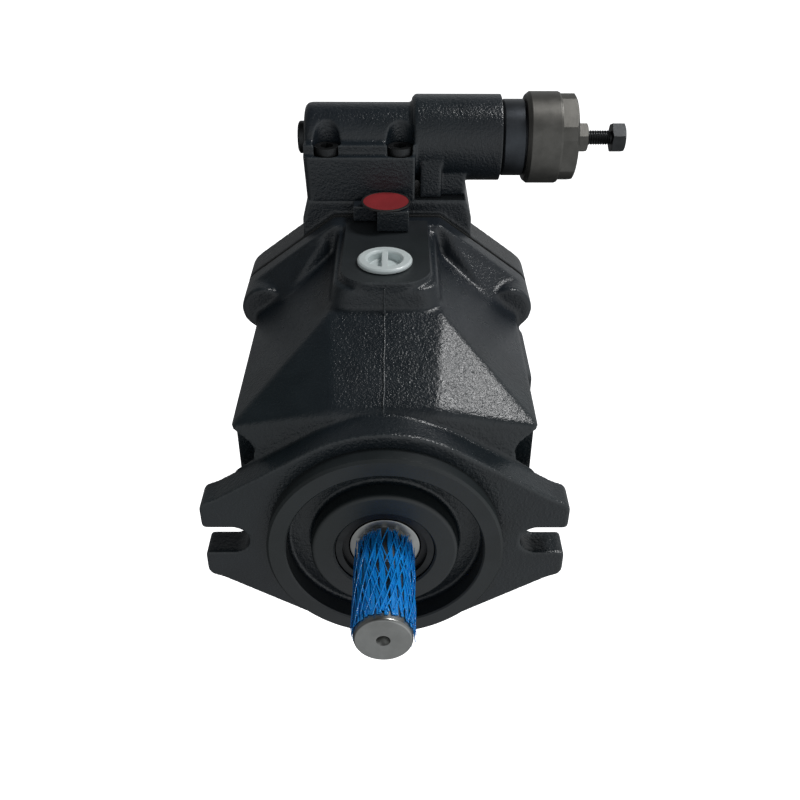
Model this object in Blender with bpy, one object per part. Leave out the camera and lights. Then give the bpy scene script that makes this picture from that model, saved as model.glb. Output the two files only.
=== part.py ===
"""Variable-displacement axial piston pump with a pressure compensator, as separate pieces.

Frame: +Z up, metres. The origin is the shaft's axis at the mounting flange's front face. The shaft
points to -Y and the pump's body runs to +Y. Sizes below are in millimetres and MM turns them into
metres. The swash plate stands at neutral, so the pistons are level and the barrel can turn freely.
"""
import math

import bmesh
import bpy
from mathutils import Matrix, Vector

MM = 0.001
GAP = 0.3                     # clearance between neighbouring pieces

# mounting flange: two-bolt, 106.4 mm between bolts, 82.55 mm pilot
FLANGE_THICK = 11.5
FLANGE_R = 46.6               # central disc that the straight edges are tangent to
FLANGE_SLOPE = math.radians(58.3)
EAR_X = 64.3
SLOT_HALF = 5.75
SLOT_END_X = 48.0
PILOT_R = 41.275
PILOT_IN_R = 34.5
PILOT_RISE = 6.4
HUB_R = 25.8
HUB_BORE_R = 17.5
GROOVE_FLOOR_Y = 1.5

# casing
CASE_SIDE_X = 53.0
CASE_SIDE_Z = 40.0
CASE_TOP_X, CASE_TOP_Z = 20.5, 64.0
CASE_BOTTOM_X, CASE_BOTTOM_Z = 24.0, -60.0
CASE_FRONT_Y, CASE_SHOULDER_Y = 11.0, 50.0
CASE_END_Y = 111.4
RIM_Y = 101.4
PAD_X, PAD_Z, PAD_FRONT_Y = 16.5, 75.0, 52.2
PAD_BLOCK_X, PAD_BLOCK_TOP_Z = 20.5, 70.5
LUG_X, LUG_Z, LUG_R = 50.0, 42.0, 9.5
LUG_FRONT_Y = 92.0
CAVITY_R, CAVITY_FRONT_Y = 44.0, 23.0
BEARING_BORE_R, BEARING_FRONT_Y = 23.8, 6.5
DRAIN_AT, DRAIN_R = (-0.4, 68.3), 7.6
FRONT_PLUG_AT, REAR_PLUG_AT = (2.5, 100.9), (-8.8, 108.0)

# rear cover
COVER_Y = 112.6
COVER_PLATE_END_Y = 129.0
PEDESTAL_TOP_Z = 80.3         # the face that the compensator is bolted to
COVER_END_Y = 165.0
PORT_BLOCK_X, PORT_BLOCK_TOP_Z, PORT_BLOCK_LOW_Z = 40.0, 46.0, -34.0
PASSAGE_Y = 128.5             # oil passage from the compensator down to the control cylinder
PORT_X, PORT_Z, SUCTION_R, DISCHARGE_R = 19.0, -2.0, 13.0, 10.0
PORT_FLOOR_Y = 140.0

# rotating group
SHAFT_R, SHAFT_FRONT_Y, SHAFT_REAR_Y = 9.525, -45.2, 127.0
PIVOT_Y = 48.0                # swash axis, and the plane of the piston balls at neutral
PISTON_COUNT, PISTON_CIRCLE_R, PISTON_R, BALL_R = 9, 26.0, 6.7, 4.3
BARREL_R, BARREL_FRONT_Y, BARREL_REAR_Y = 38.0, 64.0, 107.7
SWASH_FACE_Y, SWASH_BACK_Y, SWASH_R = 42.0, 36.0, 36.0
CRADLE_R, CRADLE_X0, CRADLE_X1 = 24.0, 25.5, 36.5
CONTROL_Z, BIAS_Z = 48.0, -46.3

# compensator, on an axis along X
COMP_Y, COMP_Z = 134.0, 99.8
COMP_BODY_X0, COMP_BODY_X1, COMP_BODY_R = -33.4, 11.0, 13.9
COMP_BARREL_X1, COMP_BARREL_R = 46.0, 17.1
COMP_FLANGE_TOP_Z = 102.6
COMP_BLOCK_Y = (113.0, 155.0)
COMP_LEG_X = (13.5, 22.0)
COMP_SCREW_X = (-24.0, 5.2)
COMP_SCREW_Y = (119.0, 149.0)
COMP_SCREW_SEAT_Z = 96.2

MATERIALS = {
    "cast_paint": ((0.020, 0.022, 0.024), 0.45, 0.0),
    "machined_steel": ((0.42, 0.42, 0.41), 0.30, 1.0),
    "dark_steel": ((0.075, 0.080, 0.085), 0.38, 1.0),
    "nut_steel": ((0.30, 0.29, 0.27), 0.40, 1.0),
    "bronze": ((0.55, 0.36, 0.16), 0.35, 1.0),
    "rubber": ((0.015, 0.015, 0.015), 0.70, 0.0),
    "gasket_fibre": ((0.05, 0.05, 0.05), 0.80, 0.0),
    "blue_net": ((0.02, 0.20, 0.60), 0.40, 0.0),
    "white_plastic": ((0.80, 0.82, 0.82), 0.40, 0.0),
    "red_enamel": ((0.60, 0.02, 0.03), 0.35, 0.0),
}


# ---------------------------------------------------------------- helpers

def clear_scene():
    for thing in list(bpy.data.objects):
        bpy.data.objects.remove(thing, do_unlink=True)


def material(name):
    """The Principled material of that name, made once."""
    if name in bpy.data.materials:
        return bpy.data.materials[name]
    colour, roughness, metallic = MATERIALS[name]
    new = bpy.data.materials.new(name)
    new.use_nodes = True
    shader = new.node_tree.nodes["Principled BSDF"]
    shader.inputs["Base Color"].default_value = (*colour, 1.0)
    shader.inputs["Roughness"].default_value = roughness
    shader.inputs["Metallic"].default_value = metallic
    return new


def solid(mesh, name="tool"):
    """An object in the scene from a bmesh in millimetres, with its faces turned outward."""
    bmesh.ops.recalc_face_normals(mesh, faces=mesh.faces)
    data = bpy.data.meshes.new(name)
    mesh.to_mesh(data)
    mesh.free()
    thing = bpy.data.objects.new(name, data)
    bpy.context.scene.collection.objects.link(thing)
    return thing


AXES = {"X": (1, 2, 0), "Y": (0, 2, 1), "Z": (0, 1, 2)}   # across, across, along


def place(axis, first, second, along):
    spot = [0.0, 0.0, 0.0]
    a, b, c = AXES[axis]
    spot[a], spot[b], spot[c] = first, second, along
    return spot


def arc(centre, radius, start_deg, end_deg, steps):
    """Points on an arc, both ends included."""
    points = []
    for i in range(steps + 1):
        turn = math.radians(start_deg + (end_deg - start_deg) * i / steps)
        points.append((centre[0] + radius * math.cos(turn), centre[1] + radius * math.sin(turn)))
    return points


def prism(outline, axis, low, high):
    """A closed outline, carried along an axis from low to high."""
    mesh = bmesh.new()
    ends = [[mesh.verts.new(place(axis, u, v, at)) for u, v in outline] for at in (low, high)]
    count = len(outline)
    for i in range(count):
        j = (i + 1) % count
        mesh.faces.new((ends[0][i], ends[0][j], ends[1][j], ends[1][i]))
    mesh.faces.new(ends[0][::-1])
    mesh.faces.new(ends[1])
    return solid(mesh)


def box(x, y, z):
    return prism([(x[0], z[0]), (x[1], z[0]), (x[1], z[1]), (x[0], z[1])], "Y", y[0], y[1])


def turned(profile, axis="Y", centre=(0.0, 0.0), segments=32, phase_deg=0.0):
    """A closed (radius, along) profile, turned about an axis through centre. Radius 0 is a pole."""
    mesh = bmesh.new()
    rings = []
    for radius, along in profile:
        if radius < 1e-6:
            rings.append([mesh.verts.new(place(axis, *centre, along))])
            continue
        ring = []
        for i in range(segments):
            turn = 2 * math.pi * i / segments + math.radians(phase_deg)
            ring.append(mesh.verts.new(place(axis, centre[0] + radius * math.cos(turn),
                                             centre[1] + radius * math.sin(turn), along)))
        rings.append(ring)
    for here, there in zip(rings, rings[1:] + rings[:1]):
        for i in range(segments):
            j = (i + 1) % segments
            corners = [here[i % len(here)], here[j % len(here)],
                       there[j % len(there)], there[i % len(there)]]
            unique = list(dict.fromkeys(corners))
            if len(unique) >= 3:
                mesh.faces.new(unique)
    return solid(mesh)


def disc(radius, axis, centre, low, high, segments=32, phase_deg=0.0):
    return turned([(0, low), (radius, low), (radius, high), (0, high)], axis, centre, segments,
                  phase_deg)


def tube(inner, outer, axis, centre, low, high, segments=32, phase_deg=0.0):
    profile = [(inner, low), (outer, low), (outer, high), (inner, high)]
    return turned(profile, axis, centre, segments, phase_deg)


def hull(points):
    """The convex solid around some points."""
    mesh = bmesh.new()
    for point in points:
        mesh.verts.new(point)
    made = bmesh.ops.convex_hull(mesh, input=mesh.verts)
    loose = [v for v in made["geom_interior"] if isinstance(v, bmesh.types.BMVert)]
    bmesh.ops.delete(mesh, geom=loose, context="VERTS")
    return solid(mesh)


def coil(mean_r, wire_r, axis, centre, low, high, turns, steps=12, sides=5):
    """A helical spring between low and high, with capped wire ends."""
    mesh = bmesh.new()
    low, high = low + wire_r, high - wire_r
    count = int(turns * steps)
    rings = []
    for i in range(count + 1):
        turn = 2 * math.pi * i / steps
        along = low + (high - low) * i / count
        ring = []
        for k in range(sides):
            side = 2 * math.pi * k / sides
            radius = mean_r + wire_r * math.cos(side)
            ring.append(mesh.verts.new(place(axis, centre[0] + radius * math.cos(turn),
                                             centre[1] + radius * math.sin(turn),
                                             along + wire_r * math.sin(side))))
        rings.append(ring)
    for here, there in zip(rings, rings[1:]):
        for k in range(sides):
            m = (k + 1) % sides
            mesh.faces.new((here[k], here[m], there[m], there[k]))
    mesh.faces.new(rings[0])
    mesh.faces.new(rings[-1][::-1])
    return solid(mesh)


def combine(target, operation, tools, solver="EXACT"):
    """Applies one Boolean after another to target, and takes the tools out of the scene."""
    for tool in tools:
        cut = target.modifiers.new("boolean", "BOOLEAN")
        cut.operation = operation
        cut.solver = solver
        cut.object = tool
    graph = bpy.context.evaluated_depsgraph_get()
    result = bpy.data.meshes.new_from_object(target.evaluated_get(graph))
    target.modifiers.clear()
    target.data = result
    for tool in tools:
        bpy.data.objects.remove(tool, do_unlink=True)
    return target


def finish(thing, name, look, origin=(0.0, 0.0, 0.0)):
    """Names a piece, gives it its material and puts its origin on its joint's axis."""
    thing.name = name
    thing.data.name = name
    thing.data.transform(Matrix.Scale(MM, 4) @ Matrix.Translation(-Vector(origin)))
    thing.location = Vector(origin) * MM
    thing.data.materials.clear()
    thing.data.materials.append(material(look))
    thing.data.shade_smooth()
    thing.data.set_sharp_from_angle(angle=math.radians(32))
    return thing


def mirrored(outline):
    """A right half outline, from top to bottom, closed with its mirror image in X."""
    return outline + [(-x, z) for x, z in reversed(outline) if abs(x) > 1e-6]


def on_circle(radius, count, first_deg=90.0):
    """Points spread evenly around the shaft, as (x, z)."""
    turns = [math.radians(first_deg + 360.0 * i / count) for i in range(count)]
    return [(radius * math.cos(t), radius * math.sin(t)) for t in turns]


def hexagon(across_flats, turn_deg=0.0, centre=(0.0, 0.0)):
    corner = across_flats / 2 / math.cos(math.radians(30))
    return arc(centre, corner, 30 + turn_deg, 330 + turn_deg, 5)


# ---------------------------------------------------------------- casing

def flange_outline():
    """The two-bolt flange: a disc with straight edges running out to slotted ears."""
    slope = math.degrees(FLANGE_SLOPE)
    edge_z = (FLANGE_R - 60.6 * math.cos(FLANGE_SLOPE)) / math.sin(FLANGE_SLOPE)
    quarter = arc((0, 0), FLANGE_R, 90, slope, 4)
    quarter += [(60.6, edge_z), (63.3, 15.2), (EAR_X, 12.4), (EAR_X, 7.6), (62.5, SLOT_HALF)]
    slot = arc((SLOT_END_X + SLOT_HALF, 0), SLOT_HALF, 90, 180, 4)
    upper = quarter + slot
    lower = [(x, -z) for x, z in reversed(upper[:-1])]
    return mirrored(upper + lower)


def rim_outline(top_x, corner, shoulder):
    """The joint face between casing and rear cover: slanted shoulders and four bolt lugs."""
    lug = arc((LUG_X, LUG_Z), LUG_R, 45, -25, 4)
    upper = [(top_x, PAD_Z), corner, shoulder] + lug + [(54.0, 34.0)]
    lower = [(54.0, -34.0)] + [(x, -z) for x, z in reversed(lug)]
    lower += [(54.5, -50.6), (41.9, CASE_BOTTOM_Z)]
    return mirrored(upper + lower)


def casing_rim():
    return rim_outline(21.6, (38.8, 62.3), (54.5, 50.6))


def bolt_clearance(side):
    """A pocket beside the flange's slot, so that a bolt head can be reached."""
    x_in, x_out = 45.0, 60.0
    right = [(x_out, 46.0), (53.0, 39.0)] + arc((51.0, 30.0), 6.0, 130, 180, 3)
    right += [(x, -z) for x, z in reversed(right)]
    outline = [(side * max(x, x_in), z) for x, z in right]
    return prism(outline, "Y", FLANGE_THICK, 23.0)


def casing():
    corners = []
    for s in (-1, 1):
        corners += [(s * x, y, z) for x, y, z in (
            (18, CASE_FRONT_Y, 46.2), (18, 13.0, 48.3), (36, CASE_FRONT_Y, 33.5),
            (36, 12.6, 39.5), (36, 16.5, 44.0),
            (CASE_SIDE_X, 13.0, 30.0), (CASE_SIDE_X, 14.5, 39.5), (CASE_SIDE_X, CASE_FRONT_Y, 22.0),
            (CASE_TOP_X, CASE_SHOULDER_Y, CASE_TOP_Z), (CASE_TOP_X, 103.0, CASE_TOP_Z),
            (CASE_SIDE_X, 103.0, CASE_SIDE_Z), (CASE_SIDE_X, CASE_FRONT_Y, -34.0),
            (CASE_SIDE_X, 20.0, -CASE_SIDE_Z), (CASE_SIDE_X, 103.0, -CASE_SIDE_Z),
            (CASE_BOTTOM_X, 103.0, CASE_BOTTOM_Z), (CASE_BOTTOM_X, 26.0, CASE_BOTTOM_Z),
            (20, CASE_FRONT_Y, -50.0), (12, 9.0, 38.0), (30, 9.0, 28.0), (30, 9.0, -24.0), (12, 9.0, -36.0))]
    body = hull(corners)
    pad = arc((PAD_BLOCK_X - 8, 59.5), 8, 0, -90, 4)
    pad_outline = [(PAD_BLOCK_X, 104.0)] + pad
    pad_outline += [(-x, y) for x, y in reversed(pad_outline)]
    lip = arc((PAD_X - 11, PAD_FRONT_Y + 11), 11, 0, -90, 6)
    lip_outline = [(PAD_X, 104.0)] + lip
    lip_outline += [(-x, y) for x, y in reversed(lip_outline)]
    added = [
        prism(flange_outline(), "Y", 0.0, FLANGE_THICK),
        disc(PILOT_R, "Y", (0, 0), -PILOT_RISE, FLANGE_THICK + 2, 48),
        prism(pad_outline, "Z", 55.0, PAD_BLOCK_TOP_Z),
        prism(lip_outline, "Z", 60.0, PAD_Z),
        prism(casing_rim(), "Y", RIM_Y, CASE_END_Y),
        hull([(x, y, z) for x in (50.0, 56.3) for y in (56.0, 90.0) for z in (-26.0, 33.0)]
             + [(50.0, 50.0, 37.0), (50.0, 96.0, 37.0), (50.0, 50.0, -31.0), (50.0, 96.0, -31.0)]),
    ]
    for x in (-LUG_X, LUG_X):
        for z in (-LUG_Z, LUG_Z):
            added.append(disc(LUG_R, "Y", (x, z), LUG_FRONT_Y, 110.0, 18))
    body = combine(body, "UNION", added, "MANIFOLD")
    removed = [
        tube(HUB_R, PILOT_IN_R, "Y", (0, 0), -PILOT_RISE - 2, GROOVE_FLOOR_Y, 40),
        disc(HUB_BORE_R, "Y", (0, 0), -PILOT_RISE - 2, 3.5, 28),
        disc(14.5, "Y", (0, 0), 2.0, 8.0, 24),
        disc(BEARING_BORE_R, "Y", (0, 0), BEARING_FRONT_Y, CAVITY_FRONT_Y + 2, 32),
        disc(CAVITY_R, "Y", (0, 0), CAVITY_FRONT_Y, CASE_END_Y + 2, 40),
        prism([(30, 20), (30, 50.5), (36, 55.2), (44, 58), (CASE_END_Y + 2, 58), (CASE_END_Y + 2, 20)],
              "X", -11, 11),
        box((-9, 9), (20.5, CASE_END_Y + 2), (-53.5, -20)),
        disc(DRAIN_R, "Z", DRAIN_AT, 50.0, PAD_Z + 2, 20),
        disc(3.2, "Z", FRONT_PLUG_AT, 64.0, PAD_Z + 2, 8),
        disc(2.5, "Z", REAR_PLUG_AT, 64.0, PAD_Z + 2, 8),
        bolt_clearance(-1),
        bolt_clearance(1),
    ]
    for x in (-LUG_X, LUG_X):
        for z in (-LUG_Z, LUG_Z):
            removed.append(disc(4.4, "Y", (x, z), 96.0, CASE_END_Y + 2, 12))
    body = combine(body, "DIFFERENCE", removed, "MANIFOLD")
    seats = [box((25.0, 38.0), (21.0, 28.4), (-17, 17)),
             box((-38.0, -25.0), (21.0, 28.4), (-17, 17))]
    body = combine(body, "UNION", seats, "MANIFOLD")
    hollow = disc(CRADLE_R + 2.1, "X", (PIVOT_Y, 0), 24.6, 38.4, 36)
    hollow_left = disc(CRADLE_R + 2.1, "X", (PIVOT_Y, 0), -38.4, -24.6, 36)
    body = combine(body, "DIFFERENCE", [hollow, hollow_left], "MANIFOLD")
    finish(body, "casing", "cast_paint")


# ---------------------------------------------------------------- rear cover and fixed fittings

def rear_cover():
    plate = prism(casing_rim(), "Y", COVER_Y, COVER_PLATE_END_Y)
    pedestal = mirrored([(32.0, PEDESTAL_TOP_Z), (34.5, 72.9), (34.9, 40.0)])
    added = [
        box((-PORT_BLOCK_X, PORT_BLOCK_X), (120.0, COVER_END_Y), (PORT_BLOCK_LOW_Z, PORT_BLOCK_TOP_Z)),
        prism(pedestal, "Y", COMP_BLOCK_Y[0], 158.0),
        disc(6.3, "Y", (0, BIAS_Z), 100.0, COVER_PLATE_END_Y - 2, 20),
        disc(4.1, "Y", (0, BIAS_Z), 84.0, 102.0, 20),
    ]
    plate = combine(plate, "UNION", added, "MANIFOLD")
    removed = [
        disc(13.0, "Y", (0, 0), COVER_Y - 2, 126.0, 24),
        disc(10.5, "Y", (0, 0), 124.0, 130.0, 24),
        disc(2.9, "Y", (0, BIAS_Z), 80.0, 112.0, 12),
        disc(2.5, "Y", (0, CONTROL_Z), COVER_Y - 2, PASSAGE_Y + 1, 8),
        disc(2.5, "Z", (0, PASSAGE_Y), CONTROL_Z - 1, PEDESTAL_TOP_Z + 2, 8),
        disc(SUCTION_R, "Y", (-PORT_X, PORT_Z), PORT_FLOOR_Y, COVER_END_Y + 2, 24),
        disc(DISCHARGE_R, "Y", (PORT_X, PORT_Z), PORT_FLOOR_Y, COVER_END_Y + 2, 20),
    ]
    for side in (-1, 1):
        removed.append(prism(kidney(side, 3.4), "Y", COVER_Y - 2, PORT_FLOOR_Y + 1))
    for x in (-LUG_X, LUG_X):
        for z in (-LUG_Z, LUG_Z):
            removed.append(disc(4.4, "Y", (x, z), COVER_Y - 2, COVER_PLATE_END_Y + 2, 12))
    for x in COMP_SCREW_X:
        for y in COMP_SCREW_Y:
            removed.append(disc(3.3, "Z", (x, y), 60.0, PEDESTAL_TOP_Z + 2, 10))
    plate = combine(plate, "DIFFERENCE", removed, "MANIFOLD")
    finish(plate, "rear_cover", "cast_paint")


def kidney(side, half_width, low_deg=-62, high_deg=62):
    """A kidney slot on the pistons' circle, on the left (-1) or right (1) side."""
    outer = arc((0, 0), PISTON_CIRCLE_R + half_width, low_deg, high_deg, 7)
    inner = arc((0, 0), PISTON_CIRCLE_R - half_width, high_deg, low_deg, 7)
    return [(side * x, z) for x, z in outer + inner]


def gasket():
    sheet = prism(casing_rim(), "Y", CASE_END_Y + GAP, COVER_Y - GAP)
    holes = [disc(CAVITY_R + 0.6, "Y", (0, 0), 100, 120, 40),
             box((-11, 11), (100, 120), (20, 58)), box((-9, 9), (100, 120), (-53.5, -20))]
    for x in (-LUG_X, LUG_X):
        for z in (-LUG_Z, LUG_Z):
            holes.append(disc(4.4, "Y", (x, z), 100, 120, 10))
    finish(combine(sheet, "DIFFERENCE", holes), "case_gasket", "gasket_fibre")


def cap_screw(axis, centre, seat, direction, shank_r, head_r, head_len, shank_len, across):
    """A socket head cap screw, whose head lies past seat in direction (+1 or -1)."""
    top = seat + direction * head_len
    screw = turned([(0, seat - direction * shank_len), (shank_r, seat - direction * shank_len),
                    (shank_r, seat), (head_r, seat), (head_r, top - direction * 0.6),
                    (head_r - 0.6, top), (0, top)], axis, centre, 12)
    socket = prism(hexagon(across, 0, centre), axis, top - direction * head_len * 0.5,
                   top + direction)
    return combine(screw, "DIFFERENCE", [socket])


def cover_bolts():
    seat = COVER_PLATE_END_Y + GAP
    corners = {"upper_left": (-1, 1), "upper_right": (1, 1), "lower_left": (-1, -1),
               "lower_right": (1, -1)}
    for place_name, (x, z) in corners.items():
        bolt = cap_screw("Y", (x * LUG_X, z * LUG_Z), seat, 1, 4.0, 6.5, 8.0, 28.0, 6.0)
        finish(bolt, f"cover_bolt_{place_name}", "dark_steel")


def shaft_support():
    outer = tube(21.9, 23.5, "Y", (0, 0), 6.8, 18.6, 32)
    finish(outer, "front_bearing_cup", "machined_steel")
    cone = tube(12.6, 15.9, "Y", (0, 0), 6.8, 18.6, 24)
    rollers = [disc(2.95, "Y", spot, 7.6, 17.8, 8) for spot in on_circle(18.6, 12)]
    finish(combine(cone, "UNION", rollers), "front_bearing_cone", "machined_steel")
    shell = tube(11.9, 12.7, "Y", (0, 0), COVER_Y + GAP, 125.4, 24)
    needles = [disc(1.05, "Y", spot, 114.0, 124.6, 6) for spot in on_circle(10.95, 12)]
    finish(combine(shell, "UNION", needles), "rear_needle_bearing", "machined_steel")
    seal = turned([(12.7, -3.2), (17.2, -3.2), (17.2, 3.1), (15.9, 3.1), (15.9, -1.6), (13.6, -1.6),
                   (13.6, 1.2), (12.7, 0.4)], "Y", (0, 0), 24)
    finish(seal, "shaft_seal", "rubber")
    ring = tube(14.9, 17.2, "Y", (0, 0), -4.8, -3.6, 28)
    gap = box((-2.2, 2.2), (-6, -2), (-19, -13))
    finish(combine(ring, "DIFFERENCE", [gap]), "seal_retaining_ring", "dark_steel")


def case_fittings():
    """Two square-headed plugs behind the drain port, a red tag on the front one, and the cap."""
    seat = PAD_Z + GAP
    front = box((-3.7, 8.7), (94.7, 107.1), (seat, 83.9))
    front = combine(front, "UNION", [disc(2.8, "Z", FRONT_PLUG_AT, 66.0, PAD_Z + 1.0, 8)])
    front = combine(front, "DIFFERENCE", [disc(2.1, "Z", FRONT_PLUG_AT, 77.0, 90.0, 10)])
    finish(front, "case_plug_front", "cast_paint")
    rear = box((-13.4, -4.2), (104.9, 111.1), (seat, 81.7))
    rear = combine(rear, "UNION", [disc(2.1, "Z", REAR_PLUG_AT, 66.0, PAD_Z + 1.0, 8)])
    finish(rear, "case_plug_rear", "cast_paint")
    tag = disc(9.8, "Z", (-0.3, 102.9), 84.1, 84.9, 28)
    tag = combine(tag, "UNION", [disc(1.8, "Z", FRONT_PLUG_AT, 78.4, 84.5, 10)])
    finish(tag, "red_tag", "red_enamel")
    cap = turned([(0, 62.0), (6.6, 62.0), (7.2, 64.0), (7.2, seat), (10.2, seat), (10.2, 76.4),
                  (9.6, 77.0), (7.0, 77.0), (6.3, 73.6), (0, 73.6)], "Z", DRAIN_AT, 20)
    bar = box((DRAIN_AT[0] - 1.3, DRAIN_AT[0] + 1.3), (DRAIN_AT[1] - 6.6, DRAIN_AT[1] + 6.6),
              (73.0, 76.4))
    finish(combine(cap, "UNION", [bar]), "drain_cap", "white_plastic", (*DRAIN_AT, PAD_Z))


# ---------------------------------------------------------------- drive shaft and barrel

def drive_shaft():
    shaft = turned([(0, SHAFT_FRONT_Y), (8.84, SHAFT_FRONT_Y), (SHAFT_R, SHAFT_FRONT_Y + 0.7),
                    (SHAFT_R, -3.2), (11.8, -2.9), (12.4, -2.3), (12.4, 3.6), (12.3, 6.0),
                    (12.3, 18.9), (11.2, 19.6), (11.2, 104.6), (9.5, 106.2),
                    (9.5, SHAFT_REAR_Y - 0.8), (8.7, SHAFT_REAR_Y), (0, SHAFT_REAR_Y)],
                   "Y", (0, 0), 24)
    teeth = [box((-1.1, 1.1), (53.0, 104.0), (10.4, 11.9)) for _ in range(8)]
    for i, tooth in enumerate(teeth):
        tooth.data.transform(Matrix.Rotation(2 * math.pi * i / len(teeth), 4, "Y"))
    shaft = combine(shaft, "UNION", teeth)
    keyway = prism([(-2.4, -20.0), (2.4, -20.0)] + arc((0, -39.8), 2.4, 0, -180, 6), "Z", 7.0, 14.0)
    centre = turned([(0, -39.6), (1.1, -40.4), (1.1, -43.0), (2.3, -45.3), (2.3, -47.0), (0, -47.0)],
                    "Y", (0, 0), 16)
    shaft = combine(shaft, "DIFFERENCE", [keyway, centre])
    finish(shaft, "drive_shaft", "machined_steel")
    sleeve = tube(9.9, 10.9, "Y", (0, 0), -43.4, -3.8, 24)
    finish(sleeve, "shaft_mesh_sleeve", "blue_net")


def cylinder_block():
    block = turned([(17.0, BARREL_FRONT_Y), (36.8, BARREL_FRONT_Y), (BARREL_R, BARREL_FRONT_Y + 1.2),
                    (BARREL_R, 100.0), (36.0, 102.0), (36.0, BARREL_REAR_Y), (12.25, BARREL_REAR_Y),
                    (12.25, 96.0), (17.0, 96.0)], "Y", (0, 0), 36)
    bores = []
    for x, z in on_circle(PISTON_CIRCLE_R, PISTON_COUNT):
        bores.append(disc(PISTON_R + GAP, "Y", (x, z), BARREL_FRONT_Y - 2, 101.6, 10))
        bores.append(disc(3.3, "Y", (x, z), 99.0, BARREL_REAR_Y + 2, 8))
    finish(combine(block, "DIFFERENCE", bores), "cylinder_block", "bronze")
    spring = coil(14.75, 1.25, "Y", (0, 0), 70.9, 95.7, 4.5, 12, 4)
    finish(spring, "barrel_spring", "machined_steel")


def piston(number, x, z):
    """A hollow piston with its ball, in its own phase around the shaft."""
    front = PIVOT_Y - BALL_R
    body = turned([(0, front), (2.9, front + 1.1), (BALL_R, PIVOT_Y), (2.7, PIVOT_Y + 3.35),
                   (2.7, 53.0), (PISTON_R, 54.6), (PISTON_R, 92.8), (4.2, 92.8),
                   (4.2, 60.0), (0, 60.0)], "Y", (x, z), 10)
    finish(body, f"piston_{number}", "machined_steel", (x, PIVOT_Y, z))
    slipper = turned([(3.2, 42.3), (8.2, 42.3), (8.2, 45.0), (5.7, 45.0), (5.7, 50.0), (4.1, 50.0),
                      (4.75, PIVOT_Y), (3.5, 44.7), (0, 43.2), (0, 42.7), (3.2, 42.7)],
                     "Y", (x, z), 10)
    finish(slipper, f"slipper_{number}", "bronze", (x, PIVOT_Y, z))


def retainer():
    ring = turned([(16.7, 45.35), (35.4, 45.35), (35.4, 47.7), (16.95, 47.7)], "Y", (0, 0), 36)
    holes = [disc(7.2, "Y", spot, 43, 50, 12) for spot in on_circle(PISTON_CIRCLE_R, PISTON_COUNT)]
    pivot = (0, PIVOT_Y, 0)
    finish(combine(ring, "DIFFERENCE", holes), "retainer_plate", "machined_steel", pivot)
    dome = [(16.3 * math.cos(t), PIVOT_Y + 16.3 * math.sin(t))
            for t in [math.radians(-24 + 44 * i / 5) for i in range(6)]]
    skirt = [(14.2, dome[-1][1] + 0.4), (14.2, 68.4), (16.4, 68.4), (16.4, 70.4), (12.25, 70.4)]
    guide = turned([(12.25, dome[0][1])] + dome + skirt, "Y", (0, 0), 24)
    finish(guide, "retainer_ball_guide", "machined_steel")


# ---------------------------------------------------------------- swash plate and its control

def swash_plate():
    plate = tube(17.5, SWASH_R, "Y", (0, 0), SWASH_BACK_Y, SWASH_FACE_Y, 36)
    rocker_arc = arc((PIVOT_Y, 0), CRADLE_R, 180 - 75, 180 + 75, 12)
    rocker = [(min(y, SWASH_FACE_Y - 1.0), z) for y, z in rocker_arc]
    added = []
    for side in (-1, 1):
        low, high = sorted((side * CRADLE_X0, side * CRADLE_X1))
        added.append(prism(rocker, "X", low, high))
    added += [box((-8, 8), (SWASH_BACK_Y + 0.4, SWASH_FACE_Y - 0.2), (30, 54)),
              box((-8, 8), (38.0, PIVOT_Y - 0.3), (38.4, 54)),
              box((-7, 7), (SWASH_BACK_Y + 0.4, SWASH_FACE_Y - 0.2), (-49.5, -30)),
              box((-7, 7), (38.0, PIVOT_Y - 0.3), (-49.5, -38.4))]
    plate = combine(plate, "UNION", added)
    finish(plate, "swash_plate", "machined_steel", (0, PIVOT_Y, 0))
    half = math.degrees(math.asin(16.4 / (CRADLE_R + 1.0)))
    outer = arc((PIVOT_Y, 0), CRADLE_R + 1.75, 180 - half, 180 + half, 8)
    inner = arc((PIVOT_Y, 0), CRADLE_R + 0.35, 180 + half, 180 - half, 8)
    cradle = prism(outer + inner, "X", -36.0, -26.0)
    linked = [prism(outer + inner, "X", 26.0, 36.0)]
    for low in (-15.8, 14.4):
        linked.append(box((-27.0, 27.0), (27.6, 28.3), (low, low + 1.4)))
    finish(combine(cradle, "UNION", linked), "cradle_bearing", "bronze")


def stroke_control():
    at = (0, CONTROL_Z)
    sleeve = tube(6.5, 8.4, "Y", at, 84.0, COVER_Y - GAP, 16)
    finish(sleeve, "control_cylinder", "machined_steel")
    tip = PIVOT_Y + 0.1
    piston_body = turned([(0, tip), (2.6, tip + 0.6), (4.6, tip + 2.2), (6.0, tip + 6.0), (6.2, 80.0),
                          (6.2, 95.6), (0, 95.6)], "Y", at, 16)
    finish(piston_body, "control_piston", "machined_steel", (0, tip, CONTROL_Z))
    at = (0, BIAS_Z)
    seat = turned([(0, tip), (2.4, tip + 0.6), (4.2, tip + 2.0), (5.6, tip + 4.4), (5.9, 55.0),
                   (2.6, 55.0), (2.6, 105.0), (0, 105.0)], "Y", at, 12)
    finish(seat, "bias_spring_seat", "machined_steel", (0, tip, BIAS_Z))
    finish(coil(5.45, 0.8, "Y", at, 55.3, 99.7, 8, 8, 4), "bias_spring", "machined_steel")


def valve_plate():
    plate = tube(13.6, 37.0, "Y", (0, 0), BARREL_REAR_Y + GAP, COVER_Y - GAP, 36)
    slots = [prism(kidney(side, 3.4), "Y", 100, 120) for side in (-1, 1)]
    finish(combine(plate, "DIFFERENCE", slots), "valve_plate", "bronze")


# ---------------------------------------------------------------- pressure compensator

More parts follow.
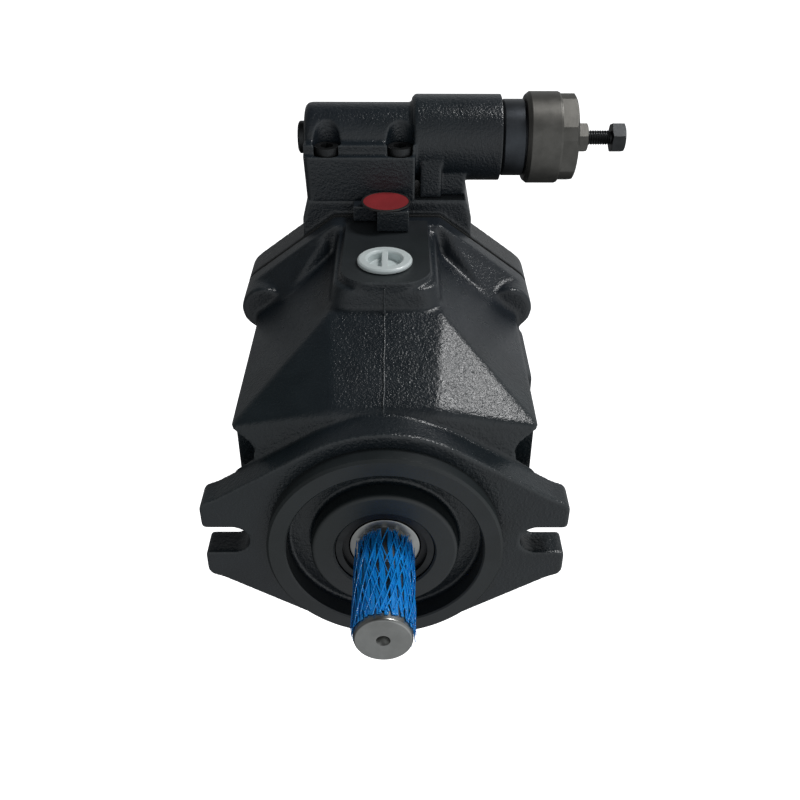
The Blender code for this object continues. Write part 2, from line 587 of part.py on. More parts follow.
def compensator():
    at = (COMP_Y, COMP_Z)
    arch = arc(at, COMP_BODY_R, 0, 180, 10)
    section = arch + [(COMP_Y - COMP_BODY_R, COMP_Z - 0.4), (COMP_Y + COMP_BODY_R, COMP_Z - 0.4)]
    body = prism(section, "X", COMP_BODY_X0, COMP_BODY_X1 + 2)
    seat_z = PEDESTAL_TOP_Z + GAP
    added = [
        hull([(x, y, z) for z, low in ((seat_z, COMP_BODY_X0 + 0.9), (98.6, COMP_BODY_X0))
              for x in (low, COMP_BODY_X1 + 0.2) for y in COMP_BLOCK_Y]),
        box((COMP_BODY_X0 - 0.1, COMP_BODY_X1), (115.0, 153.0), (98.0, COMP_FLANGE_TOP_Z)),
        disc(COMP_BARREL_R, "X", at, COMP_BODY_X1 - 1.0, COMP_BARREL_X1, 32),
        box(COMP_LEG_X, (117.3, 152.0), (seat_z, COMP_Z)),
        box((COMP_LEG_X[1] - 1.0, 32.0), (120.0, 150.0), (seat_z, 92.0)),
    ]
    body = combine(body, "UNION", added, "MANIFOLD")
    removed = [
        disc(6.3, "X", at, -40.0, 20.0, 16),
        disc(12.6, "X", at, 13.0, 50.0, 24),
        disc(14.4, "X", at, 38.0, 50.0, 28),
        disc(2.5, "Z", (0, PASSAGE_Y), PEDESTAL_TOP_Z - 2, COMP_Z, 8),
    ]
    for x in COMP_SCREW_X:
        for y in COMP_SCREW_Y:
            removed.append(disc(5.5, "Z", (x, y), COMP_SCREW_SEAT_Z, 120.0, 14))
            removed.append(disc(3.3, "Z", (x, y), PEDESTAL_TOP_Z - 2, 104.0, 10))
    body = combine(body, "DIFFERENCE", removed, "MANIFOLD")
    finish(body, "compensator_body", "cast_paint")
    for x, side in zip(COMP_SCREW_X, ("left", "right")):
        for y, end in zip(COMP_SCREW_Y, ("front", "rear")):
            screw = cap_screw("Z", (x, y), COMP_SCREW_SEAT_Z + GAP, 1, 2.9, 4.9, 5.0, 34.0, 5.0)
            finish(screw, f"compensator_screw_{end}_{side}", "dark_steel")


def compensator_adjuster():
    at = (COMP_Y, COMP_Z)
    axis_at = (76.0, COMP_Y, COMP_Z)
    housing = turned([(11.2, 38.3), (14.0, 38.3), (14.0, 46.3), (14.6, 46.3), (15.2, 46.9),
                      (15.2, 55.4), (14.2, 55.4), (14.2, 68.0), (11.2, 68.0)], "X", at, 28)
    finish(housing, "spring_housing", "dark_steel")
    cap = turned([(14.5, 56.0), (17.2, 56.0), (18.2, 57.6), (18.2, 70.2), (17.6, 70.8), (17.2, 71.2),
                  (17.2, 76.4), (3.3, 76.4), (3.3, 68.3), (14.5, 68.3)], "X", at, 32)
    hexed = prism(hexagon(31.6, 187, at), "X", 71.0, 80.0)
    blank = combine(tube(3.0, 40.0, "X", at, 71.4, 80.0, 12), "DIFFERENCE", [hexed])
    finish(combine(cap, "DIFFERENCE", [blank]), "compensator_cap", "nut_steel")
    plunger = turned([(0, 62.4), (10.4, 62.4), (10.4, 66.6), (4.4, 66.6), (4.4, 67.4), (0, 67.4)],
                     "X", at, 16)
    finish(plunger, "adjuster_plunger", "machined_steel", (67.4, COMP_Y, COMP_Z))
    screw = turned([(0, 67.8), (2.2, 67.8), (2.9, 68.6), (2.9, 91.0), (4.6, 92.2), (0, 92.2)],
                   "X", at, 16)
    head = prism(hexagon(10.8, 7, at), "X", 92.0, 97.5)
    finish(combine(screw, "UNION", [head]), "adjusting_screw", "dark_steel", axis_at)
    nut = prism(hexagon(10.8, 7, at), "X", 77.2, 82.2)
    nut = combine(nut, "UNION", [disc(6.6, "X", at, 76.7, 77.6, 18)])
    bore = disc(3.2, "X", at, 76.0, 84.0, 12)
    finish(combine(nut, "DIFFERENCE", [bore]), "lock_nut", "nut_steel", (78.0, COMP_Y, COMP_Z))


def compensator_inside():
    at = (COMP_Y, COMP_Z)
    spool = turned([(0, -27.0), (5.9, -27.0), (5.9, -18.0), (3.6, -18.0), (3.6, -10.0), (5.9, -10.0),
                    (5.9, -3.0), (3.6, -3.0), (3.6, 3.0), (5.9, 3.0), (5.9, 12.0), (2.6, 12.0),
                    (2.6, 15.0), (10.4, 15.0), (10.4, 17.0), (6.2, 17.0), (6.2, 20.0), (0, 20.0)],
                   "X", at, 14)
    finish(spool, "compensator_spool", "machined_steel", (0, COMP_Y, COMP_Z))
    finish(coil(8.4, 1.4, "X", at, 17.3, 62.1, 6, 10, 4), "compensator_spring", "machined_steel")
    plug = turned([(0, -36.5), (6.0, -36.5), (6.5, -36.0), (6.5, COMP_BODY_X0 - GAP),
                   (5.9, COMP_BODY_X0 - GAP), (5.9, -29.6), (0, -29.6)], "X", at, 18)
    finish(plug, "end_plug", "dark_steel")


def build():
    clear_scene()
    casing()
    rear_cover()
    gasket()
    cover_bolts()
    shaft_support()
    case_fittings()
    drive_shaft()
    cylinder_block()
    for i, (x, z) in enumerate(on_circle(PISTON_CIRCLE_R, PISTON_COUNT)):
        piston(i + 1, x, z)
    retainer()
    swash_plate()
    stroke_control()
    valve_plate()
    compensator()
    compensator_adjuster()
    compensator_inside()


build()
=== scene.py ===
"""Looks of the axial piston pump: castings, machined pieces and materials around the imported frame.

Shapes are made in millimetres and put in place in metres. The frame: the shaft's axis at the
mounting flange's front face is the origin, the shaft points to -Y, +Z is up.
"""
import math
import random

import bmesh
import bpy
from mathutils import Matrix, Vector, noise


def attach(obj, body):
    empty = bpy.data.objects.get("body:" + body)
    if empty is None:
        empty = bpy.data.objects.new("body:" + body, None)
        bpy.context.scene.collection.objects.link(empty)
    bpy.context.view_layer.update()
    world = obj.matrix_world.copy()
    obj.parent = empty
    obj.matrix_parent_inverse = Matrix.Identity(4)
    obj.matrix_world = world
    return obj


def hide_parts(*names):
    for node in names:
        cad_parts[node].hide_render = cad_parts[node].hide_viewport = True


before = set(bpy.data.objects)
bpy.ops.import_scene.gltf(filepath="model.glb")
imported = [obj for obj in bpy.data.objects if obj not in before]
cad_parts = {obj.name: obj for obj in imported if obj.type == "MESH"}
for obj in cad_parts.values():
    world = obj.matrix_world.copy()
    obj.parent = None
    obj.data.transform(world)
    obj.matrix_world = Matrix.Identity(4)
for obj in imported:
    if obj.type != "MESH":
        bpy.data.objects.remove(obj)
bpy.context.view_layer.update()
scene = bpy.context.scene
MM = 0.001


# ---------------------------------------------------------------- materials

def new_material(name, colour, roughness, metallic=0.0, coat=0.0, specular=0.5):
    mat = bpy.data.materials.new(name)
    mat.use_nodes = True
    shader = mat.node_tree.nodes["Principled BSDF"]
    shader.inputs["Base Color"].default_value = (*colour, 1.0)
    shader.inputs["Roughness"].default_value = roughness
    shader.inputs["Metallic"].default_value = metallic
    shader.inputs["Coat Weight"].default_value = coat
    shader.inputs["Specular IOR Level"].default_value = specular
    return mat, mat.node_tree, shader


def add(tree, kind, **values):
    node = tree.nodes.new(kind)
    for key, value in values.items():
        if key in node.inputs:
            node.inputs[key].default_value = value
        else:
            setattr(node, key, value)
    return node


def object_coords(tree):
    return add(tree, "ShaderNodeTexCoord").outputs["Object"]


def noise_node(tree, coords, scale, detail=3.0, roughness=0.55):
    node = tree.nodes.new("ShaderNodeTexNoise")
    node.inputs["Scale"].default_value = scale
    node.inputs["Detail"].default_value = detail
    node.inputs["Roughness"].default_value = roughness
    tree.links.new(coords, node.inputs["Vector"])
    return node.outputs["Fac"]


def ramp(tree, source, stops):
    node = tree.nodes.new("ShaderNodeValToRGB")
    elements = node.color_ramp.elements
    while len(elements) < len(stops):
        elements.new(0.5)
    for element, (position, colour) in zip(elements, stops):
        element.position = position
        element.color = (*colour, 1.0) if len(colour) == 3 else colour
    tree.links.new(source, node.inputs["Fac"])
    return node.outputs["Color"]


def math_node(tree, operation, a, b=None):
    node = tree.nodes.new("ShaderNodeMath")
    node.operation = operation
    for socket, value in zip(node.inputs, (a, b)):
        if value is None:
            continue
        if isinstance(value, (int, float)):
            socket.default_value = value
        else:
            tree.links.new(value, socket)
    return node.outputs[0]


def to_range(tree, source, low, high):
    node = tree.nodes.new("ShaderNodeMapRange")
    node.inputs["To Min"].default_value = low
    node.inputs["To Max"].default_value = high
    tree.links.new(source, node.inputs["Value"])
    return node.outputs["Result"]


def bump(tree, height, distance, strength=1.0, after=None):
    node = tree.nodes.new("ShaderNodeBump")
    node.inputs["Strength"].default_value = strength
    node.inputs["Distance"].default_value = distance
    tree.links.new(height, node.inputs["Height"])
    if after is not None:
        tree.links.new(after, node.inputs["Normal"])
    return node.outputs["Normal"]


def worn_edges(tree, low=0.515, high=0.56):
    """0 on flats, 1 on raised edges."""
    pointiness = add(tree, "ShaderNodeNewGeometry").outputs["Pointiness"]
    return ramp(tree, pointiness, [(low, (0, 0, 0)), (high, (1, 1, 1))])


def paint(name, grain, dark, light, rough_low, rough_high, wear_amount):
    """Satin black paint. grain is the depth in metres of the cast skin under it."""
    mat, tree, shader = new_material(name, dark, rough_low, specular=0.5)
    coords = object_coords(tree)
    patches = noise_node(tree, coords, 38.0, 4.0, 0.6)
    colour = ramp(tree, patches, [(0.34, dark), (0.55, light), (0.72, dark)])
    tint = noise_node(tree, coords, 11.0, 2.0)
    mix = add(tree, "ShaderNodeMix", data_type="RGBA", blend_type="MULTIPLY")
    mix.inputs["Factor"].default_value = 1.0
    tree.links.new(colour, mix.inputs["A"])
    tree.links.new(ramp(tree, tint, [(0.35, (0.86, 1.0, 1.0)), (0.65, (1.0, 0.97, 1.06))]),
                   mix.inputs["B"])
    edge = add(tree, "ShaderNodeMix", data_type="RGBA", blend_type="MIX")
    wear = math_node(tree, "MULTIPLY", worn_edges(tree), noise_node(tree, coords, 420.0, 2.0))
    tree.links.new(math_node(tree, "MULTIPLY", wear, wear_amount), edge.inputs["Factor"])
    tree.links.new(mix.outputs["Result"], edge.inputs["A"])
    edge.inputs["B"].default_value = (0.10, 0.11, 0.115, 1.0)
    tree.links.new(edge.outputs["Result"], shader.inputs["Base Color"])
    fine = noise_node(tree, coords, 1500.0, 2.0, 0.62)
    pits = noise_node(tree, coords, 800.0, 2.0, 0.5)
    tree.links.new(to_range(tree, noise_node(tree, coords, 160.0, 4.0), rough_low, rough_high),
                   shader.inputs["Roughness"])
    height = math_node(tree, "ADD", fine, math_node(tree, "MULTIPLY", pits, 1.3))
    tree.links.new(bump(tree, height, grain), shader.inputs["Normal"])
    return mat


def turned_metal(name, colour, roughness, axis, centre, lines=2600.0, depth=0.000012, patina=0.25,
                 metallic=1.0):
    """Machined metal: fine rings round an axis ("X", "Y" or "Z") through centre, in metres."""
    mat, tree, shader = new_material(name, colour, roughness, metallic)
    coords = object_coords(tree)
    shifted = add(tree, "ShaderNodeVectorMath", operation="SUBTRACT")
    tree.links.new(coords, shifted.inputs[0])
    shifted.inputs[1].default_value = centre
    parts = add(tree, "ShaderNodeSeparateXYZ")
    tree.links.new(shifted.outputs["Vector"], parts.inputs[0])
    across = [parts.outputs[i] for i in range(3) if "XYZ"[i] != axis]
    along = parts.outputs["XYZ".index(axis)]
    squares = [math_node(tree, "MULTIPLY", a, a) for a in across]
    radius = math_node(tree, "SQRT", math_node(tree, "ADD", *squares))
    position = math_node(tree, "ADD", radius, along)
    combined = add(tree, "ShaderNodeCombineXYZ")
    tree.links.new(math_node(tree, "MULTIPLY", position, lines), combined.inputs[0])
    tree.links.new(math_node(tree, "MULTIPLY", parts.outputs[0], 40.0), combined.inputs[1])
    rings = noise_node(tree, combined.outputs[0], 1.0, 2.0, 0.7)
    smudge = noise_node(tree, coords, 120.0, 4.0, 0.65)
    dull = tuple(c * (1.0 - patina) for c in colour)
    tree.links.new(ramp(tree, smudge, [(0.3, dull), (0.7, colour)]), shader.inputs["Base Color"])
    tree.links.new(to_range(tree, math_node(tree, "ADD", math_node(tree, "MULTIPLY", rings, 0.4),
                                            math_node(tree, "MULTIPLY", smudge, 0.6)),
                            roughness * 0.75, roughness * 1.35), shader.inputs["Roughness"])
    tree.links.new(bump(tree, rings, depth), shader.inputs["Normal"])
    return mat


def plain_grain(name, colour, roughness, metallic=0.0, scale=700.0, depth=0.00002, spread=0.3,
                subsurface=0.0, coat=0.0):
    """A material with a soft mottle and a fine grain, for plastic, rubber, fibre and bronze."""
    mat, tree, shader = new_material(name, colour, roughness, metallic, coat)
    coords = object_coords(tree)
    mottle = noise_node(tree, coords, scale * 0.16, 4.0, 0.6)
    dark = tuple(c * (1.0 - spread) for c in colour)
    tree.links.new(ramp(tree, mottle, [(0.32, dark), (0.68, colour)]), shader.inputs["Base Color"])
    tree.links.new(to_range(tree, mottle, roughness * 0.85, roughness * 1.2),
                   shader.inputs["Roughness"])
    tree.links.new(bump(tree, noise_node(tree, coords, scale, 3.0), depth), shader.inputs["Normal"])
    if subsurface:
        shader.inputs["Subsurface Weight"].default_value = subsurface
        shader.inputs["Subsurface Radius"].default_value = (0.002, 0.002, 0.002)
        shader.inputs["Subsurface Scale"].default_value = 1.0
    return mat


COMP_AXIS = (0.0, 0.134, 0.0998)                  # metres, for the materials
CAST = paint("cast_paint", 0.00015, (0.0070, 0.0105, 0.0135), (0.012, 0.0165, 0.020), 0.22, 0.36,
             0.5)
MACHINED = paint("machined_paint", 0.00002, (0.012, 0.0150, 0.0155), (0.018, 0.0215, 0.0225),
                 0.34, 0.46, 0.0)
SHAFT_STEEL = turned_metal("shaft_steel", (0.38, 0.385, 0.375), 0.30, "Y", (0, 0, 0))
INNER_STEEL = turned_metal("ground_steel", (0.55, 0.55, 0.54), 0.26, "Y", (0, 0, 0))
BLACK_OXIDE = plain_grain("black_oxide", (0.045, 0.047, 0.049), 0.36, 0.85, 900.0, 0.00002, 0.4)
HOUSING_STEEL = turned_metal("housing_steel", (0.060, 0.066, 0.075), 0.34, "X", COMP_AXIS,
                             1800.0, 0.00002, 0.3, 0.9)
CAP_STEEL = turned_metal("cap_steel", (0.140, 0.136, 0.126), 0.42, "X", COMP_AXIS, 1500.0, 0.00002,
                         0.35, 0.85)
BRONZE = turned_metal("bronze", (0.60, 0.38, 0.17), 0.32, "Y", (0, 0, 0), 2200.0)
RUBBER = plain_grain("rubber", (0.012, 0.012, 0.013), 0.55, 0.0, 600.0, 0.00003, 0.3)
FIBRE = plain_grain("gasket_fibre", (0.035, 0.036, 0.036), 0.75, 0.0, 900.0, 0.00004, 0.4)
NET = plain_grain("blue_net", (0.008, 0.300, 0.900), 0.20, 0.0, 500.0, 0.00002, 0.25, 0.15, 0.3)
WHITE = plain_grain("white_plastic", (0.62, 0.68, 0.68), 0.32, 0.0, 300.0, 0.00002, 0.10, 0.35, 0.2)
RED = plain_grain("red_enamel", (0.28, 0.020, 0.024), 0.45, 0.0, 500.0, 0.00003, 0.25, 0.0, 0.3)
TAG_RIM = plain_grain("emblem_rim", (0.020, 0.018, 0.018), 0.35, 0.0, 500.0, 0.00002, 0.2)
SPRING_STEEL = plain_grain("spring_steel", (0.34, 0.35, 0.36), 0.30, 1.0, 800.0, 0.00001, 0.3)


# ---------------------------------------------------------------- places in millimetres

COMP_AT = (134.0, 99.8)                           # the compensator's axis: Y, Z
COVER_SCREWS = [(x, z) for x in (-50.0, 50.0) for z in (-42.0, 42.0)]
COMP_SCREWS = [(x, y) for x in (-24.0, 5.2) for y in (119.0, 149.0)]
COMP_SCREW_SEAT, COVER_SCREW_SEAT = 96.5, 129.3
PEDESTAL_TOP, PAD_TOP = 80.3, 75.0
DRAIN_AT = (-0.4, 68.3)
FRONT_PLUG_AT, REAR_PLUG_AT = (2.5, 100.9), (-8.8, 108.0)


# ---------------------------------------------------------------- mesh tools

AXES = {"X": (1, 2, 0), "Y": (0, 2, 1), "Z": (0, 1, 2)}   # across, across, along


def place(axis, first, second, along):
    spot = [0.0, 0.0, 0.0]
    a, b, c = AXES[axis]
    spot[a], spot[b], spot[c] = first, second, along
    return spot


def solid(mesh, mat=None):
    bmesh.ops.recalc_face_normals(mesh, faces=mesh.faces)
    data = bpy.data.meshes.new("tool")
    mesh.to_mesh(data)
    mesh.free()
    thing = bpy.data.objects.new("tool", data)
    scene.collection.objects.link(thing)
    if mat is not None:
        data.materials.append(mat)
    return thing


def arc(centre, radius, start_deg, end_deg, steps):
    points = []
    for i in range(steps + 1):
        turn = math.radians(start_deg + (end_deg - start_deg) * i / steps)
        points.append((centre[0] + radius * math.cos(turn), centre[1] + radius * math.sin(turn)))
    return points


def bridge(mesh, rings, capped=True):
    """Faces between rings of vertices, and caps on the first and the last."""
    for here, there in zip(rings, rings[1:]):
        count = max(len(here), len(there))
        for i in range(count):
            j = (i + 1) % count
            corners = [here[i % len(here)], here[j % len(here)],
                       there[j % len(there)], there[i % len(there)]]
            unique = list(dict.fromkeys(corners))
            if len(unique) >= 3:
                mesh.faces.new(unique)
    if capped:
        for ring in (rings[0], rings[-1]):
            if len(ring) > 2:
                mesh.faces.new(ring)


def prism(outline, axis, low, high, mat=None):
    mesh = bmesh.new()
    rings = [[mesh.verts.new(place(axis, u, v, at)) for u, v in outline] for at in (low, high)]
    bridge(mesh, rings)
    return solid(mesh, mat)


def inset(outline, amount):
    """The outline moved inwards by amount. It runs anticlockwise."""
    moved = []
    count = len(outline)
    for i, (u, v) in enumerate(outline):
        before, after = outline[i - 1], outline[(i + 1) % count]
        sides = []
        for (a, b), (c, d) in ((before, (u, v)), ((u, v), after)):
            length = math.hypot(c - a, d - b) or 1.0
            sides.append(((b - d) / length, (c - a) / length))
        nx, ny = sides[0][0] + sides[1][0], sides[0][1] + sides[1][1]
        size = nx * nx + ny * ny
        scale = 2.0 / size if size > 0.4 else 1.0
        moved.append((u + nx * amount * scale, v + ny * amount * scale))
    return moved


def anticlockwise(outline):
    area = sum(a[0] * b[1] - b[0] * a[1] for a, b in zip(outline, outline[1:] + outline[:1]))
    return outline if area > 0 else outline[::-1]


def rounded_prism(outline, axis, low, high, edge_low, edge_high, mat=None, steps=3):
    """A prism whose two rims are rounded with these radii."""
    outline = anticlockwise(outline)
    mesh = bmesh.new()
    levels = []
    for radius, at, sign in ((edge_low, low, 1), (edge_high, high, -1)):
        part = []
        for i in range(steps + 1):
            turn = math.pi / 2 * i / steps
            part.append((radius * (1 - math.sin(turn)), at + sign * radius * (1 - math.cos(turn))))
        levels += part if sign > 0 else part[::-1]
        if radius == 0:
            levels = levels[:-steps] if sign > 0 else levels[:-steps - 1] + [(0, at)]
    rings = [[mesh.verts.new(place(axis, u, v, at)) for u, v in inset(outline, by)]
             for by, at in levels]
    bridge(mesh, rings)
    return solid(mesh, mat)


def box(x, y, z, mat=None):
    return prism([(x[0], z[0]), (x[1], z[0]), (x[1], z[1]), (x[0], z[1])], "Y", y[0], y[1], mat)


def turned(profile, axis="Y", centre=(0.0, 0.0), segments=96, mat=None):
    """A closed (radius, along) profile, turned about an axis through centre."""
    mesh = bmesh.new()
    rings = []
    for radius, along in profile:
        if radius < 1e-6:
            rings.append([mesh.verts.new(place(axis, *centre, along))])
            continue
        ring = []
        for i in range(segments):
            turn = 2 * math.pi * i / segments
            ring.append(mesh.verts.new(place(axis, centre[0] + radius * math.cos(turn),
                                             centre[1] + radius * math.sin(turn), along)))
        rings.append(ring)
    closed = rings if len(rings[0]) == 1 and len(rings[-1]) == 1 else rings + rings[:1]
    bridge(mesh, closed, False)
    return solid(mesh, mat)


def softened(profile, radius, steps=3):
    """The profile with each corner rounded by radius. Corners on the axis stay."""
    out = []
    count = len(profile)
    for i, point in enumerate(profile):
        before, after = Vector(profile[i - 1]), Vector(profile[(i + 1) % count])
        here = Vector(point)
        if point[0] < 1e-6:
            out.append(point)
            continue
        to_before, to_after = before - here, after - here
        reach = min(radius, to_before.length * 0.45, to_after.length * 0.45)
        start = here + to_before.normalized() * reach
        end = here + to_after.normalized() * reach
        for k in range(steps + 1):
            t = k / steps
            spot = start.lerp(here, t).lerp(here.lerp(end, t), t)
            out.append((spot.x, spot.y))
    return out


def disc(radius, axis, centre, low, high, segments=64, mat=None):
    return turned([(0, low), (radius, low), (radius, high), (0, high)], axis, centre, segments, mat)


def ring(inner, outer, axis, centre, low, high, segments=96, mat=None):
    return turned([(inner, low), (outer, low), (outer, high), (inner, high)], axis, centre,
                  segments, mat)


def hull(points):
    mesh = bmesh.new()
    for point in points:
        mesh.verts.new(point)
    made = bmesh.ops.convex_hull(mesh, input=mesh.verts)
    loose = [v for v in made["geom_interior"] if isinstance(v, bmesh.types.BMVert)]
    bmesh.ops.delete(mesh, geom=loose, context="VERTS")
    return solid(mesh)


def bake(thing):
    """Turns an object's modifiers into its mesh."""
    graph = bpy.context.evaluated_depsgraph_get()
    result = bpy.data.meshes.new_from_object(thing.evaluated_get(graph))
    thing.modifiers.clear()
    thing.data = result
    return thing


def combine(target, operation, tools):
    for tool in tools:
        cut = target.modifiers.new("boolean", "BOOLEAN")
        cut.operation = operation
        cut.solver = "MANIFOLD"
        cut.material_mode = "TRANSFER"
        cut.object = tool
    bake(target)
    for tool in tools:
        bpy.data.objects.remove(tool, do_unlink=True)
    return target


def cast(target, voxel, rounds, mat=CAST):
    """Melts a solid's edges and inner corners, as in a casting."""
    mesh = target.modifiers.new("voxels", "REMESH")
    mesh.mode = "VOXEL"
    mesh.voxel_size = voxel
    melt = target.modifiers.new("melt", "SMOOTH")
    melt.factor = 0.5
    melt.iterations = rounds
    bake(target)
    target.data.materials.clear()
    target.data.materials.append(mat)
    return target


def finish_piece(thing, name, body, mats=None, replaces=(), sharp_deg=35.0):
    """Names a piece, brings it to metres and lets it ride on its body."""
    thing.name = name
    thing.data.name = name
    thing.data.transform(Matrix.Scale(MM, 4))
    if mats is not None:
        thing.data.materials.clear()
        for mat in mats:
            thing.data.materials.append(mat)
    thing.data.shade_smooth()
    if sharp_deg:
        thing.data.set_sharp_from_angle(angle=math.radians(sharp_deg))
        even = thing.modifiers.new("even", "WEIGHTED_NORMAL")
        even.keep_sharp = True
        bake(thing)
    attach(thing, body)
    if replaces:
        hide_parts(*replaces)
    return thing


def mirrored(outline):
    return outline + [(-x, z) for x, z in reversed(outline) if abs(x) > 1e-6]


def hexagon(across_flats, turn_deg=0.0, centre=(0.0, 0.0)):
    corner = across_flats / 2 / math.cos(math.radians(30))
    return arc(centre, corner, 30 + turn_deg, 330 + turn_deg, 5)


# ---------------------------------------------------------------- casing

def flange_outline():
    slope = 58.3
    edge_z = (46.6 - 58.6 * math.cos(math.radians(slope))) / math.sin(math.radians(slope))
    quarter = arc((0, 0), 46.6, 90, slope, 16) + [(58.6, edge_z)]
    quarter += arc((60.3, 13.6), 4.0, 55, 0, 6) + arc((62.5, 7.5), 1.75, 0, -90, 4)
    slot = arc((53.75, 0), 5.75, 90, 180, 14)
    upper = quarter + slot
    return mirrored(upper + [(x, -z) for x, z in reversed(upper[:-1])])


def rim_outline(top_x, corner, shoulder):
    lug = arc((50.0, 42.0), 9.5, 45, -25, 10)
    upper = [(top_x, 75.0), corner, shoulder] + lug + [(54.0, 34.0)]
    lower = [(54.0, -34.0)] + [(x, -z) for x, z in reversed(lug)]
    lower += [(54.5, -50.6), (41.9, -60.0)]
    return mirrored(upper + lower)


def bolt_clearance(side):
    right = [(60.0, 46.0), (53.0, 39.0)] + arc((51.0, 30.0), 6.0, 130, 180, 8)
    right += [(x, -z) for x, z in reversed(right)]
    return rounded_prism([(side * x, z) for x, z in right], "Y", 11.5, 23.5, 0.0, 2.0, CAST)


def casing():
    corners = [(s * x, y, z) for s in (-1, 1) for x, y, z in (
        (18, 11.0, 46.2), (18, 13.0, 48.3), (36, 11.0, 33.5), (36, 12.6, 39.5), (36, 16.5, 44.0),
        (53, 13.0, 30.0), (53, 14.5, 39.5), (53, 11.0, 22.0), (20.5, 50.0, 64.0),
        (20.5, 103.0, 64.0), (53, 103.0, 40.0), (53, 11.0, -34.0), (53, 20.0, -40.0),
        (53, 103.0, -40.0), (24, 103.0, -60.0), (24, 26.0, -60.0), (20, 11.0, -50.0),
        (12, 9.0, 38.0), (30, 9.0, 28.0))]
    body = hull(corners)
    block = mirrored_y([(20.5, 104.0)] + arc((12.5, 59.5), 8.0, 0, -90, 10))
    bosses = [
        hull([(x, y, 66.0) for x, y in block] + [(x, y, 50.0) for x, y in block]
             + [(0.93 * x, y + 0.9, 72.6) for x, y in block]),
        prism(rim_outline(21.6, (38.8, 62.3), (54.5, 50.6)), "Y", 101.4, 111.4),
        hull([(x, y, z) for x in (50.0, 56.2) for y in (56.0, 90.0) for z in (-26.0, 33.0)]
             + [(50.0, 50.0, 37.0), (50.0, 96.0, 37.0), (50.0, 50.0, -31.0), (50.0, 96.0, -31.0)]),
    ]
    for s in (-1, 1):
        bosses.append(hull([(s * x, y, z) for x, y, z in (
            (24.0, 102.0, 71.8), (22.5, 102.0, 60.0), (50.5, 102.0, 53.6), (50.5, 102.0, 38.0),
            (42.0, 89.0, 47.6), (48.5, 91.0, 42.6), (24.5, 99.5, 64.6))]))
    bosses += [disc(9.5, "Y", spot, 92.0, 110.0, 40) for spot in COVER_SCREWS]
    body = combine(body, "UNION", bosses)
    body = cast(body, 0.9, 7)
    lip = mirrored_y([(16.5, 104.0)] + arc((5.5, 63.2), 11.0, 0, -90, 14))
    more = [prism(flange_outline(), "Y", 0.15, 11.5), prism(lip, "Z", 62.0, 75.2)]
    body = combine(body, "UNION", more)
    body = combine(body, "DIFFERENCE", [bolt_clearance(-1), bolt_clearance(1)])
    body = cast(body, 0.62, 3)
    cuts = [
        box((-70, 70), (-6, 0.0), (-70, 70), MACHINED),
        box((-70, 70), (111.4, 130), (-90, 90), MACHINED),
        box((-16.2, 16.2), (52.6, 112), (PAD_TOP, 80.0), MACHINED),
    ]
    body = combine(body, "DIFFERENCE", cuts)
    hub = turned([(0, 3.0), (0, -6.0), (24.2, -6.0), (24.9, -5.8), (25.4, -5.4), (25.7, -4.9),
                  (25.8, -4.2), (25.8, 3.0)], "Y", (0, 0), 160, MACHINED)
    pilot = turned([(34.5, 3.0), (34.5, -5.9), (35.0, -6.4), (40.4, -6.4), (41.275, -5.5),
                    (41.275, 3.0)], "Y", (0, 0), 192, MACHINED)
    trough = [(25.8, -8.0), (25.8, 0.5)] + [(27.3 - 1.5 * math.cos(t), 0.5 + 1.5 * math.sin(t))
                                            for t in (0.5, 1.0, math.pi / 2)]
    trough += [(33.0 + 1.5 * math.sin(t), 0.5 + 1.5 * math.cos(t)) for t in (0.0, 0.5, 1.0)]
    trough += [(34.5, 0.5), (34.5, -8.0)]
    body = combine(body, "DIFFERENCE", [turned(trough, "Y", (0, 0), 160, CAST)])
    body = combine(body, "UNION", [hub, pilot])
    bores = [
        turned([(0, -8.0), (18.7, -8.0), (18.7, -6.6), (17.5, -5.4), (17.5, 3.5), (14.5, 3.5),
                (14.5, 6.5), (23.8, 6.5), (23.8, 23.0), (44.0, 23.0), (44.0, 113.0), (0, 113.0)],
               "Y", (0, 0), 96, MACHINED),
        prism([(30, 20), (30, 50.5), (36, 55.2), (44, 58), (113, 58), (113, 20)], "X", -11, 11,
              CAST),
        box((-9, 9), (20.5, 113), (-53.5, -20), CAST),
        turned([(0, 50.0), (7.6, 50.0), (7.6, 74.4), (8.2, 75.0), (8.2, 78.0), (0, 78.0)], "Z",
               DRAIN_AT, 48, MACHINED),
        disc(3.2, "Z", FRONT_PLUG_AT, 64.0, 78.0, 24, MACHINED),
        disc(2.5, "Z", REAR_PLUG_AT, 64.0, 78.0, 24, MACHINED),
    ]
    bores += [disc(4.4, "Y", spot, 96.0, 113.0, 24, MACHINED) for spot in COVER_SCREWS]
    body = combine(body, "DIFFERENCE", bores)
    finish_piece(body, "casing_casting", "housing", None, ["casing"])


def mirrored_y(outline):
    """As mirrored, for outlines that already end on the centre line."""
    return outline + [(-x, y) for x, y in reversed(outline)]


